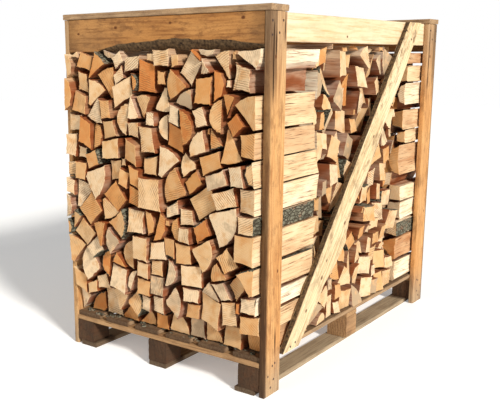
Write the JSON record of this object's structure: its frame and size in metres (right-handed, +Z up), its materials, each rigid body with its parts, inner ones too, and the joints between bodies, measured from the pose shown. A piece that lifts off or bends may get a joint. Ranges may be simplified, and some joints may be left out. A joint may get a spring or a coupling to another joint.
{
  "type": "firewood crate",
  "caption": "Open softwood crate on a pallet base, filled with split firewood logs stacked in crosswise rows.",
  "frame": {"origin": "on the floor under the middle of the crate", "axes": "+Z up; -Y is the front, where the ends of the front row of logs show; the posts, rails and braces are on the -X and +X sides"},
  "size_m": [0.806, 1.34, 1.145],
  "materials": {
    "frame_wood": "sawn softwood, orange tan, weathered streaks",
    "pale_wood": "fresh sawn softwood, pale cream",
    "pallet_wood": "sawn softwood, greyed",
    "block_wood": "rough dark offcut",
    "log_wood": "split and sawn beech, fibrous",
    "bark": "dry grey-brown bark",
    "nail_steel": "dull, lightly rusted"
  },
  "bodies": {
    "root": {"runner_left": "pallet_wood", "block_front_left": "block_wood", "block_middle_left": "block_wood", "block_back_left": "block_wood", "runner_centre": "pallet_wood", "block_front_centre": "block_wood", "block_middle_centre": "block_wood", "block_back_centre": "block_wood", "runner_right": "pallet_wood", "block_front_right": "block_wood", "block_middle_right": "block_wood", "block_back_right": "block_wood", "cross_board_front": "pallet_wood", "cross_board_middle": "pallet_wood", "cross_board_back": "pallet_wood", "deck_board_1": "pallet_wood", "deck_board_2": "pallet_wood", "deck_board_3": "pallet_wood", "deck_board_4": "pallet_wood", "deck_board_5": "pallet_wood", "deck_board_6": "pallet_wood", "post_front_left": "frame_wood", "post_front_right": "frame_wood", "header_front": "frame_wood", "cap_front": "frame_wood", "post_back_left": "frame_wood", "post_back_right": "frame_wood", "header_back": "frame_wood", "cap_back": "frame_wood", "rail_left": "pale_wood", "brace_left": "pale_wood", "rail_right": "pale_wood", "brace_right": "pale_wood", "logs_front_row": "log_wood", "logs_middle_row_left": "log_wood", "logs_middle_row_right": "log_wood", "logs_back_row": "log_wood", "top_log_front_1": "log_wood", "top_log_front_2": "log_wood", "top_log_front_3": "log_wood", "top_log_front_4": "log_wood", "top_log_front_5": "log_wood", "top_log_front_6": "log_wood", "top_log_front_7": "log_wood", "top_log_front_8": "log_wood", "top_log_front_9": "log_wood", "top_log_front_10": "log_wood", "top_log_middle_1": "log_wood", "top_log_middle_2": "log_wood", "top_log_middle_3": "log_wood", "top_log_middle_4": "log_wood", "top_log_middle_5": "log_wood", "top_log_middle_6": "log_wood", "top_log_middle_7": "log_wood", "top_log_middle_8": "log_wood"}
  },
  "joints": []
}
